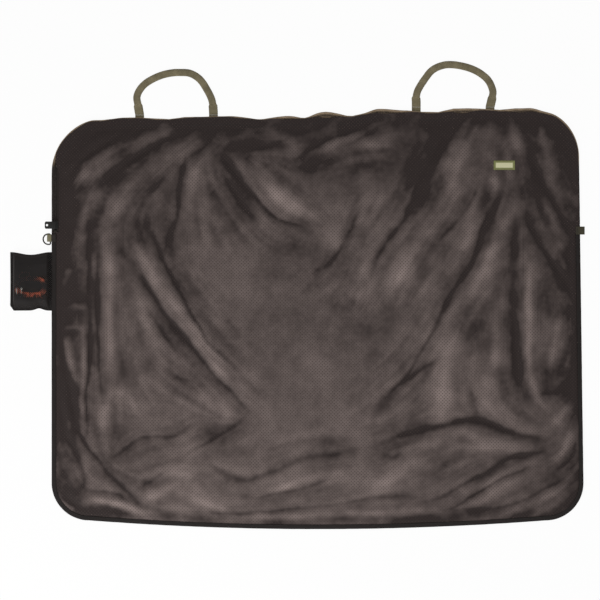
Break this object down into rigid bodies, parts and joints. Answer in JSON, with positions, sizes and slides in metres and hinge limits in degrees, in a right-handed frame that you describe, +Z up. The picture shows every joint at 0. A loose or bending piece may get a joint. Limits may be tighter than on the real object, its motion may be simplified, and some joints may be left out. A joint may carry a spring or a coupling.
{
  "type": "carp sack",
  "caption": "Large flat mesh fish sack with a zipped mouth flap, webbing handles and side loops, a ring, and a side pouch that holds a hanked cord with a snap hook.",
  "frame": {"origin": "on the underside of the back panel, near the middle of the sack's body", "axes": "+X to the sack's right, +Y to its mouth and handles, +Z up, away from the surface that it lies on"},
  "size_m": [1.2951, 1.0557, 0.0265],
  "materials": {
    "mesh_cloth": "matt open knitted mesh",
    "dark_tape": "matt woven tape",
    "zip_tape": "matt woven tape",
    "zip_coil": "satin",
    "olive_webbing": "matt webbing",
    "dark_moulding": "satin",
    "bright_steel": "polished",
    "woven_label": "smooth weave",
    "red_cord": "braided cord"
  },
  "bodies": {
    "sack": {"back_panel": "mesh_cloth", "front_panel": "mesh_cloth", "edge_binding": "dark_tape", "zip_tape_outer": "zip_tape", "zip_coil_outer": "zip_coil", "zip_tape_left_end": "zip_tape", "zip_tape_right_end": "zip_tape", "zip_coil_left_end": "zip_coil", "zip_coil_right_end": "zip_coil", "zip_stop_left": "bright_steel", "zip_stop_right": "bright_steel", "handle_left_foot_outer": "olive_webbing", "handle_left_foot_inner": "olive_webbing", "handle_right_foot_outer": "olive_webbing", "handle_right_foot_inner": "olive_webbing", "side_loop_left": "olive_webbing", "side_loop_right": "olive_webbing"},
    "flap": {"mouth_flap": "mesh_cloth", "label_patch": "woven_label", "zip_tape_inner": "zip_tape", "zip_coil_inner": "zip_coil"},
    "slider": {"zip_slider": "dark_moulding"},
    "puller": {"zip_puller": "dark_moulding"},
    "left_grip": {"handle_left": "olive_webbing"},
    "right_grip": {"handle_right": "olive_webbing"},
    "ring": {"d_ring": "bright_steel"},
    "pouch": {"pouch_back": "mesh_cloth", "pouch_front": "mesh_cloth", "pouch_elastic": "dark_tape", "cord_hank": "red_cord", "cord_tail_free": "red_cord", "cord_tail_hook": "red_cord", "cord_sleeve": "bright_steel", "hook_frame": "bright_steel", "hook_rivet": "bright_steel"},
    "gate": {"hook_gate": "bright_steel"}
  },
  "joints": [
    {"name": "mouth_flap_fold", "type": "hinge", "parent": "sack", "child": "flap", "pos_m": [0, 0.233, 0.02], "axis": [1, 0, 0], "range_deg": [0, 150]},
    {"name": "zip_slide", "type": "slide", "parent": "sack", "child": "slider", "axis": [0, 1, 0], "range_m": [0, 0.105]},
    {"name": "puller_swing", "type": "hinge", "parent": "slider", "child": "puller", "pos_m": [-0.588, 0.2205, 0.0114], "axis": [0, 1, 0], "range_deg": [-14, 170]},
    {"name": "left_handle_lift", "type": "hinge", "parent": "sack", "child": "left_grip", "pos_m": [-0.3145, 0.46932, 0.0018], "axis": [1, 0, 0], "range_deg": [0, 100]},
    {"name": "right_handle_lift", "type": "hinge", "parent": "sack", "child": "right_grip", "pos_m": [0.3093, 0.48712, 0.0018], "axis": [1, 0, 0], "range_deg": [0, 100]},
    {"name": "ring_swing", "type": "hinge", "parent": "sack", "child": "ring", "pos_m": [-0.5986, 0.189, 0.00455], "axis": [0, 1, 0], "range_deg": [-9, 105]},
    {"name": "pouch_fold", "type": "hinge", "parent": "sack", "child": "pouch", "pos_m": [-0.5963, 0.094, 0.003], "axis": [0, 1, 0], "range_deg": [0, 80]},
    {"name": "gate_swing", "type": "hinge", "parent": "pouch", "child": "gate", "pos_m": [-0.6632, 0.0774, 0.0158], "axis": [0, 0, -1], "range_deg": [0, 35], "stiffness_Nm_per_rad": 0.02, "springref_deg": -17.19}
  ]
}
